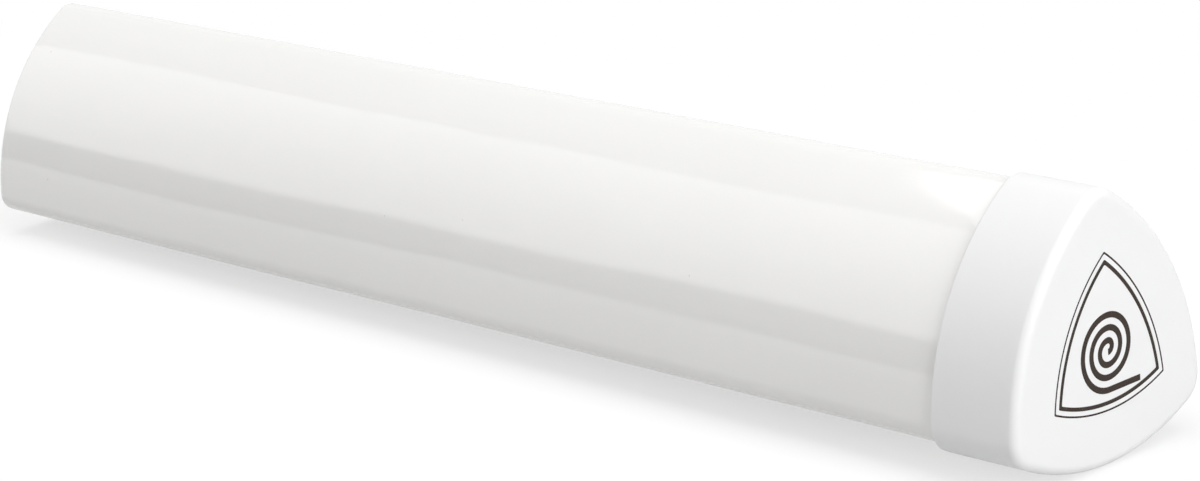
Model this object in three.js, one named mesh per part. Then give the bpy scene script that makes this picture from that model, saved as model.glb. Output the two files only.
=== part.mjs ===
// Storage tube for a rolled mat: a long hollow moulding with a rounded triangular section,
// closed at one end, and a cap that slides over its mouth.
// Millimetres, +Z up. The tube lies along X with the cap at +X, one bulged side down and a corner up.
import * as THREE from "three";
import { ParametricGeometry } from "three/addons/geometries/ParametricGeometry.js";
import { mergeVertices } from "three/addons/utils/BufferGeometryUtils.js";

// Section of the tube at its shoulder, from a rounded corner to the middle of the side opposite
const sectionWidth = 63;
const cornerRadius = 6.3;
const sideRadius = 61.2;
const leastCornerRadius = 0.4;

// Tube body
const bodyLength = 353.4;
const bodyWall = 2;
const farWall = 2.2;
const farInset = 1.25;
const farEdgeRadius = 1;
const farInnerRadius = 2;

// Neck that carries the cap
const neckStep = 0.6;
const lipRadius = 0.6;

// Cap
const capLength = 25.4;
const capWall = 1.8;
const capEndWall = 2.2;
const capEdgeRadius = 2.2;
const capInnerRadius = 1.2;
const rimRadius = 0.5;

// Clearances between the cap and the tube
const skirtClearance = 0.3;
const rimGap = 0.3;
const mouthGap = 0.5;

// Fineness of the faces
const cornerSteps = 8;
const sideSteps = 17;
const roundingDivisions = 2;
const mergeDistance = 1e-4;

// Sizes that follow from the ones above
const shoulderX = bodyLength;
const rimX = shoulderX + rimGap;
const capEndX = rimX + capLength;
const mouthX = capEndX - capEndWall - mouthGap;
const skirtInset = neckStep - skirtClearance;
const capInset = skirtInset - capWall;

// The section at an inset from the nominal one: six tangent arcs, a small one at each corner and a wide
// one on each side. Every arc is centred across the axis or on it, and shrinks by the inset. A corner
// stops shrinking at the least radius. The points run clockwise seen from the cap.
function sectionAt(inset) {
  const corner = Math.max(cornerRadius - inset, leastCornerRadius);
  const side = sideRadius - inset;
  const shift = sectionWidth - 2 * inset - corner - side;
  const difference = side - corner;
  const cornerDistance = (3 * shift + Math.sqrt(12 * difference ** 2 - 3 * shift ** 2)) / 6;
  const sideDistance = shift - cornerDistance;
  const halfSide = Math.asin((cornerDistance * Math.sin(Math.PI / 3)) / difference);
  const halfCorner = Math.PI / 3 - halfSide;
  const points = [];
  const addArc = (direction, distance, radius, halfAngle, steps) => {
    for (let i = 0; i < steps; i++) {
      const angle = direction + halfAngle * (1 - (2 * i) / steps);
      const y = distance * Math.cos(direction) + radius * Math.cos(angle);
      const z = distance * Math.sin(direction) + radius * Math.sin(angle);
      points.push(new THREE.Vector2(y, z));
    }
  };
  for (let k = 0; k < 3; k++) {
    const cornerDirection = Math.PI / 2 - (k * 2 * Math.PI) / 3;
    const sideDirection = cornerDirection - Math.PI / 3;
    addArc(cornerDirection, cornerDistance, corner, halfCorner, cornerSteps);
    addArc(sideDirection, sideDistance, side, halfSide, sideSteps);
  }
  return points;
}

// A closed shell round the X axis. The outline's points are (x, inset from the nominal section),
// and each end of the outline closes flat on the axis.
function shellOf(outline) {
  const points = outline.getPoints(roundingDivisions);
  const rings = points.map((point) => sectionAt(point.y));
  const around = rings[0].length;
  const rows = points.length + 1;
  const place = (u, v, target) => {
    const row = THREE.MathUtils.clamp(Math.round(v * rows) - 1, 0, points.length - 1);
    const spot = rings[row][Math.round(u * around) % around];
    const reach = v > 0 && v < 1 ? 1 : 0;
    target.set(points[row].x, spot.x * reach, spot.y * reach);
  };
  const surface = new ParametricGeometry(place, around, rows);
  surface.deleteAttribute("normal");
  surface.deleteAttribute("uv");
  return withoutSlivers(mergeVertices(surface, mergeDistance));
}

// The faces that collapse on the axis are dropped
function withoutSlivers(geometry) {
  const corners = geometry.index.array;
  const kept = [];
  for (let i = 0; i < corners.length; i += 3) {
    const [a, b, c] = corners.slice(i, i + 3);
    if (a !== b && b !== c && c !== a) {
      kept.push(a, b, c);
    }
  }
  geometry.setIndex(kept);
  geometry.computeVertexNormals();
  return geometry;
}

// Draft of the body: the section grows evenly from the far end to the shoulder
function draftAt(x) {
  return (farInset * (shoulderX - x)) / shoulderX;
}

function bodyOutline() {
  const outline = new THREE.Path();
  const farOuter = draftAt(0);
  const farInner = draftAt(farWall) + bodyWall;
  const mouthInner = draftAt(mouthX) + bodyWall;
  outline.moveTo(farWall, farInner + farInnerRadius);
  outline.absarc(
    farWall + farInnerRadius, farInner + farInnerRadius, farInnerRadius, Math.PI, 1.5 * Math.PI, false,
  );
  outline.lineTo(mouthX, mouthInner);
  outline.lineTo(mouthX, neckStep + lipRadius);
  outline.absarc(mouthX - lipRadius, neckStep + lipRadius, lipRadius, 0, -Math.PI / 2, true);
  outline.lineTo(shoulderX, neckStep);
  outline.lineTo(shoulderX, 0);
  outline.lineTo(farEdgeRadius, farOuter);
  outline.absarc(farEdgeRadius, farOuter + farEdgeRadius, farEdgeRadius, 1.5 * Math.PI, Math.PI, true);
  return outline;
}

function capOutline() {
  const outline = new THREE.Path();
  const innerEndX = capEndX - capEndWall;
  outline.moveTo(capEndX, capInset + capEdgeRadius);
  outline.absarc(
    capEndX - capEdgeRadius, capInset + capEdgeRadius, capEdgeRadius, 0, -Math.PI / 2, true,
  );
  outline.lineTo(rimX + rimRadius, capInset);
  outline.absarc(rimX + rimRadius, capInset + rimRadius, rimRadius, 1.5 * Math.PI, Math.PI, true);
  outline.lineTo(rimX, skirtInset);
  outline.lineTo(innerEndX - capInnerRadius, skirtInset);
  outline.absarc(
    innerEndX - capInnerRadius, skirtInset + capInnerRadius, capInnerRadius, -Math.PI / 2, 0, false,
  );
  return outline;
}

const tubePlastic = new THREE.MeshStandardMaterial({ color: 0xf1f0ec, roughness: 0.12, metalness: 0 });
const capPlastic = new THREE.MeshStandardMaterial({ color: 0xf4f4f4, roughness: 0.42, metalness: 0 });

const tubeBody = new THREE.Mesh(shellOf(bodyOutline()), tubePlastic);
tubeBody.name = "tube_body";

const cap = new THREE.Mesh(shellOf(capOutline()), capPlastic);
cap.name = "cap";

// The tube lies on its bulged side, with the origin on the surface under the middle of its length
const assembly = new THREE.Group();
assembly.add(tubeBody, cap);
const box = new THREE.Box3().setFromObject(assembly);
assembly.children.forEach((mesh) => {
  mesh.position.set(-(box.min.x + box.max.x) / 2, -(box.min.y + box.max.y) / 2, -box.min.z);
});

export default assembly;
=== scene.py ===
from math import asin, cos, pi, radians, sin, sqrt

import bmesh
import bpy
from mathutils import Matrix, Vector, noise


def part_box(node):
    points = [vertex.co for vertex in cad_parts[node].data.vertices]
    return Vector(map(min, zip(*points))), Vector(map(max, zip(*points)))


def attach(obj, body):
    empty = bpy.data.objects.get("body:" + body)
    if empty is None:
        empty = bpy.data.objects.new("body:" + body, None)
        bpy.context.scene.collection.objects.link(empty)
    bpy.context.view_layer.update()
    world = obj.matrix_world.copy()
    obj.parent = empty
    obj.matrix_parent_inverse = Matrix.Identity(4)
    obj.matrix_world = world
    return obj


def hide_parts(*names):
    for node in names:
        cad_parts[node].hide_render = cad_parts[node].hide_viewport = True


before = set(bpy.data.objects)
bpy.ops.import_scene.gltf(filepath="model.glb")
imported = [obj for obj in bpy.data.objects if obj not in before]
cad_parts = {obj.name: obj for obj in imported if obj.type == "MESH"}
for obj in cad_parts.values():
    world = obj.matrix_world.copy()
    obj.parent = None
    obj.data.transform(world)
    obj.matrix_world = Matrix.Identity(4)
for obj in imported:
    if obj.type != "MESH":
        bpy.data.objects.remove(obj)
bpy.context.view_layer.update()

mm = 0.001
bodyLow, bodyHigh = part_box("tube_body")
capLow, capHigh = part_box("cap")

sectionSettings = {  # outline of the tube at its shoulder, in mm
    "width": 63.0,
    "cornerRadius": 6.3,
    "sideRadius": 61.2,
    "leastCorner": 0.4,
    "cornerSteps": 16,
    "sideSteps": 40,
}

tubeSettings = {  # in mm, the insets counted from that outline
    "shoulderX": 353.4,
    "wall": 2.0,
    "farWall": 2.2,
    "farInset": 1.25,
    "neckStep": 0.6,
    "farEdge": (1.0, 6),  # the roundings have a radius and a number of segments
    "farInner": (2.0, 5),
    "lipEdge": (0.55, 4),
    "mouthEdge": (0.3, 3),
    "shoulderEdge": (0.18, 3),
    "lengthCuts": 110,
    "waveHeight": 0.15,
    "waveAlong": 95.0,
    "waveAcross": 26.0,
    "waveFade": 12.0,
    "rippleShare": 0.35,  # height and fineness of the smaller waves against the long ones
    "rippleFineness": 2.6,
}

capSettings = {  # in mm
    "wall": 1.8,
    "endWall": 2.2,
    "skirtInset": 0.3,
    "endEdge": (2.3, 10),
    "endInner": (1.2, 4),
    "rimEdge": (0.5, 4),
    "rimInner": (0.25, 3),
}

farX = bodyLow[0]  # the tube's far end, from which lengths along it are counted
capFloor = capLow[2]


def sectionShape(inset):
    # corner radius, side radius, the distances of their centres and half the side's angle
    corner = max(sectionSettings["cornerRadius"] - inset, sectionSettings["leastCorner"])
    side = sectionSettings["sideRadius"] - inset
    shift = sectionSettings["width"] - 2 * inset - corner - side
    gap = side - corner
    cornerOut = (3 * shift + sqrt(12 * gap * gap - 3 * shift * shift)) / 6
    halfSide = asin(cornerOut * sin(pi / 3) / gap)
    return corner, side, cornerOut, shift - cornerOut, halfSide


# the axis lies over the cap's lowest line by the radius and the centre's distance of its lower side
capOutset = capSettings["wall"] - capSettings["skirtInset"]
lowerRadius, lowerCentre = sectionShape(-capOutset)[1:4:2]
axisHeight = capFloor + (lowerRadius + lowerCentre) * mm


def sectionRing(bm, along, inset):
    # one closed ring of edges round the section, spun arc by arc; along and inset in mm
    corner, side, cornerOut, sideOut, halfSide = sectionShape(inset)
    halfCorner = pi / 3 - halfSide
    x = farX + along * mm
    known = set(bm.verts)

    def spot(direction, out, radius=0.0, angle=0.0):
        y = out * cos(direction) + radius * cos(angle)
        z = out * sin(direction) + radius * sin(angle)
        return Vector((x, y * mm, axisHeight + z * mm))

    first = bm.verts.new(spot(pi / 2, cornerOut, corner, pi / 2 - halfCorner))
    tip = first
    for k in range(3):
        cornerWay = pi / 2 + k * 2 * pi / 3
        sideWay = cornerWay + pi / 3
        arcs = (
            (spot(cornerWay, cornerOut), halfCorner, sectionSettings["cornerSteps"]),
            (spot(sideWay, sideOut), halfSide, sectionSettings["sideSteps"]),
        )
        for centre, half, steps in arcs:
            turn = bmesh.ops.spin(
                bm, geom=[tip], cent=centre, axis=(1, 0, 0), angle=2 * half, steps=steps,
            )
            tip = [v for v in turn["geom_last"] if isinstance(v, bmesh.types.BMVert)][0]
    bmesh.ops.weld_verts(bm, targetmap={tip: first})
    ring = [v for v in bm.verts if v not in known]
    return list({edge for v in ring for edge in v.link_edges})


def bridgeRings(bm, near, far):
    # the far ring is pulled away while it is bridged, because rings in one plane can be joined twisted
    pull = Vector((sectionSettings["width"] * mm, 0.0, 0.0))
    verts = list({v for edge in far for v in edge.verts})
    bmesh.ops.translate(bm, verts=verts, vec=pull)
    wall = bmesh.ops.bridge_loops(bm, edges=near + far)
    bmesh.ops.translate(bm, verts=verts, vec=-pull)
    return wall


def shellOf(bm, stations):
    # rings at the stations, walls bridged between them, flat ends; gives the rings and the walls
    rings = [sectionRing(bm, along, inset) for along, inset in stations]
    walls = [bridgeRings(bm, near, far) for near, far in zip(rings, rings[1:])]
    for ring in (rings[0], rings[-1]):
        bmesh.ops.contextual_create(bm, geom=ring)
    return rings, walls


def roundRings(bm, roundings):
    # each rounding has its ring of edges, and a radius with a number of segments
    for ring, (radius, segments) in roundings:
        edges = [edge for edge in ring if edge.is_valid]
        bmesh.ops.bevel(
            bm, geom=edges, offset=radius * mm, offset_type="OFFSET", segments=segments,
            profile=0.5, affect="EDGES", material=-1, clamp_overlap=False,
        )


flatEndSettings = {
    "fewestCorners": 9,  # walls and roundings have fewer
    "frame": 0.4,  # mm
}


def frameFlatEnds(bm):
    # a narrow loop inside each flat end keeps its shading flat
    margin = flatEndSettings["frame"] * mm
    ends = [face for face in bm.faces if len(face.verts) >= flatEndSettings["fewestCorners"]]
    for end in ends:
        bmesh.ops.inset_region(bm, faces=[end], thickness=margin, use_even_offset=True)


sharpAngle = radians(40)


def pieceFrom(bm, name, material):
    bmesh.ops.recalc_face_normals(bm, faces=bm.faces)
    for face in bm.faces:
        face.smooth = True
    mesh = bpy.data.meshes.new(name)
    bm.to_mesh(mesh)
    bm.free()
    mesh.set_sharp_from_angle(angle=sharpAngle)
    mesh.materials.append(material)
    piece = bpy.data.objects.new(name, mesh)
    bpy.context.scene.collection.objects.link(piece)
    # the wide faces lead the shading, so that a small rounding leaves the walls beside it even
    even = piece.modifiers.new("evenShading", "WEIGHTED_NORMAL")
    even.mode = "FACE_AREA"
    even.keep_sharp = True
    return piece


def nodeIn(tree, kind, place, **values):
    node = tree.nodes.new(kind)
    node.location = place
    for key, value in values.items():
        if key in node.inputs:
            node.inputs[key].default_value = value
        else:
            setattr(node, key, value)
    return node


def setRange(node, source, target):
    # the four numbers of a Map Range node, as two pairs
    node.inputs["From Min"].default_value = source[0]
    node.inputs["From Max"].default_value = source[1]
    node.inputs["To Min"].default_value = target[0]
    node.inputs["To Max"].default_value = target[1]


def emptyTree(owner):
    # the node tree of a new material or world, cleared
    owner.use_nodes = True
    owner.node_tree.nodes.clear()
    return owner.node_tree


noiseSpan = (0.3, 0.7)  # where nearly all values of a noise texture lie


def plasticMaterial(name, settings):
    # moulded plastic: faint clouding of the colour, uneven gloss, a skin of very fine bumps, a few specks
    material = bpy.data.materials.new(name)
    tree = emptyTree(material)
    output = nodeIn(tree, "ShaderNodeOutputMaterial", (900, 0))
    shader = nodeIn(tree, "ShaderNodeBsdfPrincipled", (600, 0))
    shader.inputs["IOR"].default_value = settings["ior"]
    shader.inputs["Metallic"].default_value = 0.0
    spots = nodeIn(tree, "ShaderNodeTexCoord", (-900, 0))
    cloud = nodeIn(
        tree, "ShaderNodeTexNoise", (-600, 250), Scale=settings["cloudScale"], Detail=3.0, Roughness=0.55,
    )
    tint = nodeIn(tree, "ShaderNodeValToRGB", (-300, 250))
    stops = zip(tint.color_ramp.elements, noiseSpan, (settings["shade"], settings["colour"]))
    for stop, position, colour in stops:
        stop.position = position
        stop.color = (*colour, 1.0)
    sheen = nodeIn(
        tree, "ShaderNodeTexNoise", (-600, 0), Scale=settings["sheenScale"], Detail=4.0, Roughness=0.6,
    )
    gloss = nodeIn(tree, "ShaderNodeMapRange", (-300, 0))
    setRange(gloss, noiseSpan, settings["roughness"])
    grain = nodeIn(
        tree, "ShaderNodeTexNoise", (-600, -300), Scale=settings["grainScale"], Detail=2.0, Roughness=0.5,
    )
    bump = nodeIn(
        tree, "ShaderNodeBump", (300, -300), Strength=1.0, Distance=settings["grainHeight"] * mm,
    )
    specks = nodeIn(tree, "ShaderNodeTexVoronoi", (-600, 550), Scale=settings["speckScale"])
    dot = nodeIn(tree, "ShaderNodeMapRange", (-300, 550), interpolation_type="SMOOTHSTEP")
    setRange(dot, (settings["speckRadius"] / 2, settings["speckRadius"]), (settings["speckDepth"], 0.0))
    stain = nodeIn(tree, "ShaderNodeMix", (0, 350), data_type="RGBA")
    stain.inputs["B"].default_value = (*settings["speckColour"], 1.0)
    for texture in (cloud, sheen, grain, specks):
        tree.links.new(spots.outputs["Object"], texture.inputs["Vector"])
    tree.links.new(cloud.outputs["Fac"], tint.inputs["Fac"])
    tree.links.new(specks.outputs["Distance"], dot.inputs["Value"])
    tree.links.new(dot.outputs["Result"], stain.inputs["Factor"])
    tree.links.new(tint.outputs["Color"], stain.inputs["A"])
    tree.links.new(stain.outputs["Result"], shader.inputs["Base Color"])
    tree.links.new(sheen.outputs["Fac"], gloss.inputs["Value"])
    tree.links.new(gloss.outputs["Result"], shader.inputs["Roughness"])
    tree.links.new(grain.outputs["Fac"], bump.inputs["Height"])
    tree.links.new(bump.outputs["Normal"], shader.inputs["Normal"])
    tree.links.new(shader.outputs["BSDF"], output.inputs["Surface"])
    return material


# tube body

tubeFinish = {
    "colour": (0.835, 0.83, 0.815),
    "shade": (0.815, 0.81, 0.795),
    "ior": 1.5,
    "roughness": (0.035, 0.065),
    "cloudScale": 14.0,
    "sheenScale": 30.0,
    "grainScale": 900.0,
    "grainHeight": 0.0015,
    "speckScale": 70.0,
    "speckRadius": 0.022,
    "speckDepth": 0.5,
    "speckColour": (0.52, 0.50, 0.48),
}


def waveTheWall(bm, settings):
    # long shallow sink waves of a thin moulding, faded out towards the ends of the wall
    start = farX + settings["farEdge"][0] * mm
    stop = farX + settings["shoulderX"] * mm
    fade = settings["waveFade"] * mm
    bmesh.ops.recalc_face_normals(bm, faces=bm.faces)
    bm.normal_update()
    moves = []
    for v in bm.verts:
        spread = Vector((0.0, v.co.y, v.co.z - axisHeight))
        if not start < v.co.x < stop or v.normal.dot(spread) <= 0:
            continue
        weight = min(1.0, (v.co.x - start) / fade, (stop - v.co.x) / fade)
        weight = weight * weight * (3 - 2 * weight)  # eased at both ends
        place = Vector((
            v.co.x / (settings["waveAlong"] * mm),
            v.co.y / (settings["waveAcross"] * mm),
            v.co.z / (settings["waveAcross"] * mm),
        ))
        ripple = noise.noise(place * settings["rippleFineness"])
        height = noise.noise(place) + settings["rippleShare"] * ripple
        moves.append((v, v.normal * (height * weight * settings["waveHeight"] * mm)))
    for v, move in moves:
        v.co += move


def buildTube():
    s = tubeSettings
    inner = s["wall"]
    mouth = (bodyHigh[0] - farX) / mm
    draft = s["farInset"] / s["shoulderX"]  # the section grows evenly towards the shoulder
    stations = (
        (0.0, s["farInset"]),
        (s["shoulderX"], 0.0),
        (s["shoulderX"], s["neckStep"]),
        (mouth, s["neckStep"]),
        (mouth, inner - draft * (mouth - s["shoulderX"])),
        (s["farWall"], inner + draft * (s["shoulderX"] - s["farWall"])),
    )
    bm = bmesh.new()
    rings, walls = shellOf(bm, stations)
    outerWall = [edge for edge in walls[0]["edges"] if edge.is_valid]
    bmesh.ops.subdivide_edges(bm, edges=outerWall, cuts=s["lengthCuts"], use_grid_fill=True)
    roundings = (
        (rings[0], s["farEdge"]),
        (rings[1], s["shoulderEdge"]),
        (rings[3], s["lipEdge"]),
        (rings[4], s["mouthEdge"]),
        (rings[5], s["farInner"]),
    )
    roundRings(bm, roundings)
    frameFlatEnds(bm)
    waveTheWall(bm, s)
    return pieceFrom(bm, "tube_shell", plasticMaterial("glossyWhitePlastic", tubeFinish))


tubeShell = buildTube()
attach(tubeShell, "tube")
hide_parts("tube_body")
print("tube shell", len(tubeShell.data.polygons), "faces")

# cap

capFinish = {
    "colour": (0.785, 0.785, 0.79),
    "shade": (0.775, 0.775, 0.78),
    "ior": 1.5,
    "roughness": (0.45, 0.53),
    "cloudScale": 20.0,
    "sheenScale": 60.0,
    "grainScale": 1600.0,
    "grainHeight": 0.004,
    "speckScale": 90.0,
    "speckRadius": 0.02,
    "speckDepth": 0.3,
    "speckColour": (0.60, 0.59, 0.57),
}


def buildCap():
    s = capSettings
    start = (capLow[0] - farX) / mm
    end = (capHigh[0] - farX) / mm
    stations = (
        (end, -capOutset),
        (start, -capOutset),
        (start, s["skirtInset"]),
        (end - s["endWall"], s["skirtInset"]),
    )
    bm = bmesh.new()
    rings = shellOf(bm, stations)[0]
    roundings = (
        (rings[0], s["endEdge"]),
        (rings[1], s["rimEdge"]),
        (rings[2], s["rimInner"]),
        (rings[3], s["endInner"]),
    )
    roundRings(bm, roundings)
    frameFlatEnds(bm)
    return pieceFrom(bm, "cap_shell", plasticMaterial("satinWhitePlastic", capFinish))


capShell = buildCap()
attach(capShell, "cap")
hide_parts("cap")
print("cap shell", len(capShell.data.polygons), "faces")

# print on the cap's end face: a rolled sheet seen end-on, inside a three-cornered border

printSettings = {  # in mm; the border insets are counted from the tube's outline at its shoulder
    "lift": 0.02,
    "sink": 0.02,
    "borderInsets": ((12.6, 13.1), (14.3, 15.4)),
    "coilLine": 1.5,
    "coilStart": 1.4,
    "coilGrowth": 1.5,
    "coilHalfTurns": 6,
    "tailLength": 11.0,
    "stepsPerHalf": 24,
}

printFinish = {
    "colour": (0.034, 0.021, 0.015),
    "shade": (0.024, 0.015, 0.011),
    "ior": 1.3,
    "roughness": (0.42, 0.5),
    "cloudScale": 160.0,
    "sheenScale": 300.0,
    "grainScale": 2500.0,
    "grainHeight": 0.002,
    "speckScale": 900.0,
    "speckRadius": 0.2,
    "speckDepth": 0.5,
    "speckColour": (0.07, 0.055, 0.045),
}


def thickenPrint(bm, faces):
    # the flat ink becomes a closed film, from just inside the face to just above it
    film = (printSettings["lift"] + printSettings["sink"]) * mm
    made = bmesh.ops.extrude_face_region(bm, geom=faces)
    moved = [v for v in made["geom"] if isinstance(v, bmesh.types.BMVert)]
    bmesh.ops.translate(bm, verts=moved, vec=(film, 0.0, 0.0))


def printBorders(bm, along):
    for outer, inner in printSettings["borderInsets"]:
        bridgeRings(bm, sectionRing(bm, along, outer), sectionRing(bm, along, inner))


def printCoil(bm, along):
    # half turns about two centres in turn, each wider than the last, then a straight tail
    s = printSettings
    x = farX + along * mm

    def spot(up):
        return Vector((x, 0.0, axisHeight + up * mm))

    near = bm.verts.new(spot(s["coilLine"] / 2 - s["coilStart"]))
    far = bm.verts.new(spot(-s["coilLine"] / 2 - s["coilStart"]))
    tip = [near, far, bm.edges.new((near, far))]
    for half in range(s["coilHalfTurns"]):
        centre = spot(-s["coilGrowth"] * (half % 2))
        turn = bmesh.ops.spin(bm, geom=tip, cent=centre, axis=(1, 0, 0), angle=pi, steps=s["stepsPerHalf"])
        tip = turn["geom_last"]
    last = [edge for edge in tip if isinstance(edge, bmesh.types.BMEdge)]
    tail = bmesh.ops.extrude_edge_only(bm, edges=last)
    ends = [v for v in tail["geom"] if isinstance(v, bmesh.types.BMVert)]
    bmesh.ops.translate(bm, verts=ends, vec=(0.0, s["tailLength"] * mm, 0.0))


def buildPrint():
    along = (capHigh[0] - farX) / mm - printSettings["sink"]
    bm = bmesh.new()
    printBorders(bm, along)
    printCoil(bm, along)
    thickenPrint(bm, list(bm.faces))
    return pieceFrom(bm, "cap_print", plasticMaterial("blackInk", printFinish))


capPrint = buildPrint()
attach(capPrint, "cap")
print("cap print", len(capPrint.data.polygons), "faces")

# studio

studioSettings = {  # lengths in metres
    "roomLight": 0.02,
    "floorSize": 12.0,
    "floorColour": (0.64, 0.64, 0.64, 1.0),
    "shadowShare": 0.5,  # how much of the floor's own shading shows by the tube, the rest is plain white
    "shadowMiddle": -0.17,  # middle of the tube, counted from the cap's rim
    "shadowSqueeze": 0.4,  # a distance along the tube counts for less than one across it
    "shadowFade": (0.045, 0.2),
    "whiteLift": 0.52,  # extra white where the floor's own shading shows, so that the open floor stays white
}


def seenDirectly(tree):
    # 1 for what the camera sees, straight or in a reflection or through glass
    path = nodeIn(tree, "ShaderNodeLightPath", (-600, 300))
    either = nodeIn(tree, "ShaderNodeMath", (-400, 300), operation="MAXIMUM")
    anyOf = nodeIn(tree, "ShaderNodeMath", (-200, 300), operation="MAXIMUM")
    tree.links.new(path.outputs["Is Camera Ray"], either.inputs[0])
    tree.links.new(path.outputs["Is Glossy Ray"], either.inputs[1])
    tree.links.new(either.outputs[0], anyOf.inputs[0])
    tree.links.new(path.outputs["Is Transmission Ray"], anyOf.inputs[1])
    return anyOf.outputs[0]


def buildRoom():
    world = bpy.data.worlds.new("softRoom")
    bpy.context.scene.world = world
    tree = emptyTree(world)
    output = nodeIn(tree, "ShaderNodeOutputWorld", (600, 0))
    light = nodeIn(tree, "ShaderNodeBackground", (0, 0), Strength=studioSettings["roomLight"])
    white = nodeIn(tree, "ShaderNodeBackground", (0, -200), Strength=1.0)
    for shade in (light, white):
        shade.inputs["Color"].default_value = (1.0, 1.0, 1.0, 1.0)
    blend = nodeIn(tree, "ShaderNodeMixShader", (300, 0))
    tree.links.new(seenDirectly(tree), blend.inputs[0])
    tree.links.new(light.outputs[0], blend.inputs[1])
    tree.links.new(white.outputs[0], blend.inputs[2])
    tree.links.new(blend.outputs[0], output.inputs["Surface"])


def shadowFade(tree):
    # the share of plain white, which grows with the distance from the tube
    squeeze = studioSettings["shadowSqueeze"]
    spots = nodeIn(tree, "ShaderNodeTexCoord", (-1200, 600))
    fit = nodeIn(tree, "ShaderNodeMapping", (-1000, 600))
    fit.inputs["Location"].default_value = (-studioSettings["shadowMiddle"] * squeeze, 0.0, 0.0)
    fit.inputs["Scale"].default_value = (squeeze, 1.0, 0.0)
    reach = nodeIn(tree, "ShaderNodeVectorMath", (-800, 600), operation="LENGTH")
    fade = nodeIn(tree, "ShaderNodeMapRange", (-600, 600), interpolation_type="SMOOTHSTEP")
    setRange(fade, studioSettings["shadowFade"], (1.0 - studioSettings["shadowShare"], 1.0))
    tree.links.new(spots.outputs["Object"], fit.inputs["Vector"])
    tree.links.new(fit.outputs["Vector"], reach.inputs[0])
    tree.links.new(reach.outputs["Value"], fade.inputs["Value"])
    return fade.outputs["Result"]


def floorMaterial():
    # grey for the light that bounces off it, mostly white for what is seen
    material = bpy.data.materials.new("paleFloor")
    tree = emptyTree(material)
    output = nodeIn(tree, "ShaderNodeOutputMaterial", (600, 0))
    matte = nodeIn(tree, "ShaderNodeBsdfDiffuse", (0, 0), Color=studioSettings["floorColour"])
    white = nodeIn(tree, "ShaderNodeEmission", (0, -200))
    fade = shadowFade(tree)
    lift = nodeIn(tree, "ShaderNodeMath", (-300, -200), operation="MULTIPLY_ADD")
    lift.inputs[1].default_value = -studioSettings["whiteLift"]
    lift.inputs[2].default_value = 1.0 + studioSettings["whiteLift"]
    share = nodeIn(tree, "ShaderNodeMath", (0, 300), operation="MULTIPLY")
    blend = nodeIn(tree, "ShaderNodeMixShader", (300, 0))
    tree.links.new(fade, lift.inputs[0])
    tree.links.new(lift.outputs[0], white.inputs["Strength"])
    tree.links.new(seenDirectly(tree), share.inputs[0])
    tree.links.new(fade, share.inputs[1])
    tree.links.new(share.outputs[0], blend.inputs[0])
    tree.links.new(matte.outputs[0], blend.inputs[1])
    tree.links.new(white.outputs[0], blend.inputs[2])
    tree.links.new(blend.outputs[0], output.inputs["Surface"])
    return material


def sheetOf(name, width, height, material):
    # one flat face for the studio: a unit square, then its width and height
    bm = bmesh.new()
    bmesh.ops.create_grid(bm, x_segments=1, y_segments=1, size=0.5)
    bmesh.ops.scale(bm, verts=bm.verts, vec=(width, height, 1.0))
    mesh = bpy.data.meshes.new(name)
    bm.to_mesh(mesh)
    bm.free()
    mesh.materials.append(material)
    sheet = bpy.data.objects.new(name, mesh)
    bpy.context.scene.collection.objects.link(sheet)
    return sheet


def buildFloor():
    # the floor leans with the tube's draft, so that the rim and the far end both touch it
    size = studioSettings["floorSize"]
    floor = sheetOf("floor", size, size, floorMaterial())
    rimX = capLow[0]
    lean = (bodyLow[2] - capFloor + tubeSettings["farInset"] * mm) / (rimX - farX)
    floor.location = (rimX, 0.0, capFloor)
    floor.rotation_euler = (0.0, lean, 0.0)


flagSettings = {  # lengths in metres
    "place": (-1.2, -1.2, 0.2),
    "size": (1.9, 0.32),
    "colour": (0.04, 0.04, 0.04, 1.0),
}


def buildFlag():
    # a dark card outside the picture, seen only in the gloss as the grey band low on the tube
    material = bpy.data.materials.new("darkCard")
    tree = emptyTree(material)
    output = nodeIn(tree, "ShaderNodeOutputMaterial", (300, 0))
    matte = nodeIn(tree, "ShaderNodeBsdfDiffuse", (0, 0), Color=flagSettings["colour"])
    tree.links.new(matte.outputs[0], output.inputs["Surface"])
    width, height = flagSettings["size"]
    flag = sheetOf("flag", width, height, material)
    flag.location = flagSettings["place"]
    flag.rotation_euler = (pi / 2, 0.0, 0.0)
    flag.visible_camera = False  # it would stand in the picture from behind


buildRoom()
buildFloor()
buildFlag()

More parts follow.
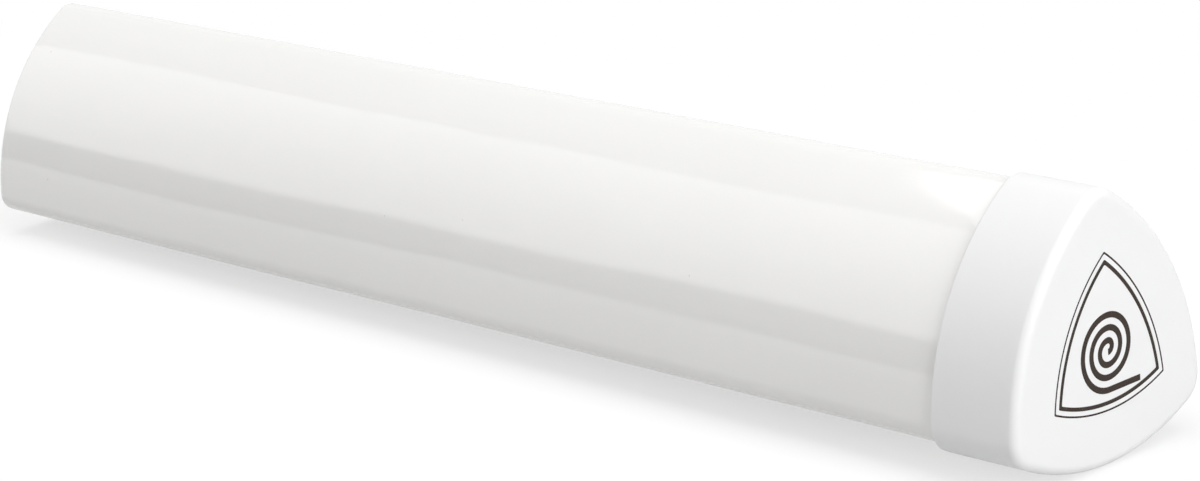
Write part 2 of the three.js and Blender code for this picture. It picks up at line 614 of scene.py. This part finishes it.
lampSettings = {  # lengths in metres, and the brightness of the lamp's face
    "overhead": {
        "place": (0.0, 0.0, 1.6), "aim": (0.0, 0.0, 0.0), "size": (2.4, 1.6), "radiance": 2.2,
    },
    "front": {
        "place": (-0.8, -0.635, 0.61), "aim": (-0.8, 0.0, 0.0), "size": (1.25, 0.82), "radiance": 0.93,
    },
    "fill": {
        "place": (0.6, -1.2, 0.8), "aim": (0.1, 0.0, 0.05), "size": (1.2, 0.8), "radiance": 1.0,
    },
    "side": {
        "place": (1.5, -0.1, 0.7), "aim": (0.15, 0.0, 0.05), "size": (1.2, 1.2), "radiance": 4.15,
    },
}


def addLamp(name, settings):
    width, height = settings["size"]
    lamp = bpy.data.lights.new(name, "AREA")
    lamp.shape = "RECTANGLE"
    lamp.size = width
    lamp.size_y = height
    lamp.energy = settings["radiance"] * pi * width * height
    holder = bpy.data.objects.new(name, lamp)
    place = Vector(settings["place"])
    holder.location = place
    holder.rotation_euler = (Vector(settings["aim"]) - place).to_track_quat("-Z", "Y").to_euler()
    bpy.context.scene.collection.objects.link(holder)


for lampName, lampValues in lampSettings.items():
    addLamp(lampName, lampValues)
print("studio ready")

# camera at the photograph's angle

cameraSettings = {  # place and clipStart in metres, angles in degrees, lens and sensor in mm
    "place": (0.8200, -0.7471, 0.3481),
    "azimuth": 46.82,
    "elevation": 16.38,
    "roll": -4.25,
    "lens": 134.77,
    "sensor": 36.0,
    "clipStart": 0.01,
}


def addCamera(settings):
    camera = bpy.data.cameras.new("camera")
    camera.sensor_width = settings["sensor"]
    camera.lens = settings["lens"]
    camera.clip_start = settings["clipStart"]
    holder = bpy.data.objects.new("camera", camera)
    turn = Matrix.Rotation(radians(settings["azimuth"]), 4, "Z")
    tilt = Matrix.Rotation(radians(90.0 - settings["elevation"]), 4, "X")
    roll = Matrix.Rotation(radians(settings["roll"]), 4, "Z")
    holder.matrix_world = Matrix.Translation(settings["place"]) @ turn @ tilt @ roll
    bpy.context.scene.collection.objects.link(holder)
    bpy.context.scene.camera = holder


addCamera(cameraSettings)
bpy.context.scene.view_settings.view_transform = "Standard"

print("scene ready")
